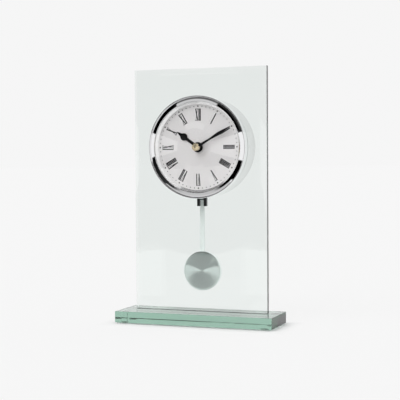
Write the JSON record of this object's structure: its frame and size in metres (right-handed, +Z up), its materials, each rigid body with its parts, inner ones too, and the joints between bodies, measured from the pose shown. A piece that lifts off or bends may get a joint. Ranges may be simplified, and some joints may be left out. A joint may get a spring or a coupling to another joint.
{
  "type": "desk pendulum clock",
  "caption": "Glass desk clock: an upright bevelled glass panel on a thick glass base carries a round head, and a pendulum swings behind the panel.",
  "frame": {"origin": "on the standing surface, below the middle of the clock's bounding box", "axes": "+Z up, -Y towards the viewer, +X to the viewer's right"},
  "size_m": [0.176, 0.0584, 0.2734],
  "materials": {
    "clear_glass": "clear, pale green at its edges",
    "lens_glass": "clear and polished",
    "clear_bond": "clear cured adhesive",
    "clear_gasket": "soft clear ring",
    "foot_rubber": "soft clear pad",
    "polished_chrome": "polished",
    "silver_dial": "fine satin",
    "white_plastic": "moulded",
    "steel": "plain",
    "brass": "polished",
    "black_plastic": "moulded",
    "black_hand": "satin black",
    "magnet": "plated magnet",
    "copper": "enamelled winding",
    "board_green": "coated board",
    "battery_wrap": "plain wrap",
    "pale_metal": "satin",
    "spun_metal": "spun with polished edge"
  },
  "bodies": {
    "clock": {"glass_base": "clear_glass", "foot_pad_front_left": "foot_rubber", "foot_pad_front_right": "foot_rubber", "foot_pad_rear_left": "foot_rubber", "foot_pad_rear_right": "foot_rubber", "panel_bond": "clear_bond", "glass_panel": "clear_glass", "front_ring": "polished_chrome", "front_gasket": "clear_gasket", "rear_gasket": "clear_gasket", "lens": "lens_glass", "dial": "silver_dial", "dial_carrier": "white_plastic", "clamp_screws": "steel", "rear_drum": "polished_chrome", "movement_front_case": "black_plastic", "movement_rear_case": "black_plastic", "movement_washer": "steel", "movement_nut": "brass", "stator": "steel", "coil_core": "steel", "coil_bobbin": "white_plastic", "motor_coil": "copper", "circuit_board": "board_green", "quartz_crystal": "steel", "battery": "battery_wrap", "battery_contact_minus": "steel", "battery_contact_plus": "steel", "hanger_housing": "black_plastic", "pivot_pin": "steel", "pendulum_coil": "copper", "coil_former": "white_plastic", "back_cover": "black_plastic", "cover_screws": "steel"},
    "pendulum": {"swing_arm": "black_plastic", "arm_magnet": "magnet", "pendulum_rod": "pale_metal", "bob": "spun_metal", "bob_plate": "steel", "bob_rivets": "steel"},
    "minute_group": {"minute_hand": "black_hand", "minute_arbor": "brass", "hand_cap": "brass"},
    "hour_group": {"hour_hand": "black_hand", "hour_wheel": "white_plastic"},
    "minute_wheel": {"minute_wheel": "white_plastic"},
    "set_knob": {"set_knob": "black_plastic"},
    "second_wheel": {"second_wheel": "white_plastic"},
    "third_wheel": {"third_wheel": "white_plastic"},
    "centre_wheel": {"centre_wheel": "white_plastic"},
    "intermediate_wheel": {"intermediate_wheel": "white_plastic"},
    "rotor": {"rotor": "magnet"},
    "battery_door": {"battery_door": "black_plastic"}
  },
  "joints": [
    {"name": "pendulum_swing", "type": "hinge", "parent": "clock", "child": "pendulum", "pos_m": [0, 0.00895, 0.1563], "axis": [0, 1, 0], "range_deg": [-5, 5]},
    {"name": "minute_turn", "type": "hinge", "parent": "clock", "child": "minute_group", "pos_m": [0, 0.00615, 0.1891], "axis": [0, 1, 0], "continuous": true},
    {"name": "hour_turn", "type": "hinge", "parent": "clock", "child": "hour_group", "pos_m": [0, 0.00615, 0.1891], "axis": [0, 1, 0], "continuous": true},
    {"name": "minute_wheel_turn", "type": "hinge", "parent": "clock", "child": "minute_wheel", "pos_m": [-0.00208, 0.00615, 0.17728], "axis": [0, 1, 0], "continuous": true},
    {"name": "set_knob_turn", "type": "hinge", "parent": "clock", "child": "set_knob", "pos_m": [0.00879, 0.00615, 0.17221], "axis": [0, 1, 0], "continuous": true},
    {"name": "second_wheel_turn", "type": "hinge", "parent": "clock", "child": "second_wheel", "pos_m": [0, 0.00615, 0.1891], "axis": [0, 1, 0], "continuous": true},
    {"name": "third_wheel_turn", "type": "hinge", "parent": "clock", "child": "third_wheel", "pos_m": [0.01043, 0.00615, 0.1863], "axis": [0, 1, 0], "continuous": true},
    {"name": "centre_wheel_turn", "type": "hinge", "parent": "clock", "child": "centre_wheel", "pos_m": [0, 0.00615, 0.1891], "axis": [0, 1, 0], "continuous": true},
    {"name": "intermediate_wheel_turn", "type": "hinge", "parent": "clock", "child": "intermediate_wheel", "pos_m": [-0.01073, 0.00615, 0.18721], "axis": [0, 1, 0], "continuous": true},
    {"name": "rotor_turn", "type": "hinge", "parent": "clock", "child": "rotor", "pos_m": [-0.01486, 0.00615, 0.18131], "axis": [0, 1, 0], "continuous": true},
    {"name": "battery_door_slide", "type": "slide", "parent": "clock", "child": "battery_door", "axis": [0, 0, 1], "range_m": [0, 0.006]}
  ],
  "couplings": [
    {"joint": "minute_wheel_turn", "follows": "minute_turn", "ratio": -0.33333},
    {"joint": "hour_turn", "follows": "minute_turn", "ratio": 0.083333},
    {"joint": "set_knob_turn", "follows": "minute_turn", "ratio": 1},
    {"joint": "third_wheel_turn", "follows": "second_wheel_turn", "ratio": -0.13333},
    {"joint": "centre_wheel_turn", "follows": "second_wheel_turn", "ratio": 0.016667},
    {"joint": "intermediate_wheel_turn", "follows": "second_wheel_turn", "ratio": -6},
    {"joint": "rotor_turn", "follows": "second_wheel_turn", "ratio": 30}
  ]
}
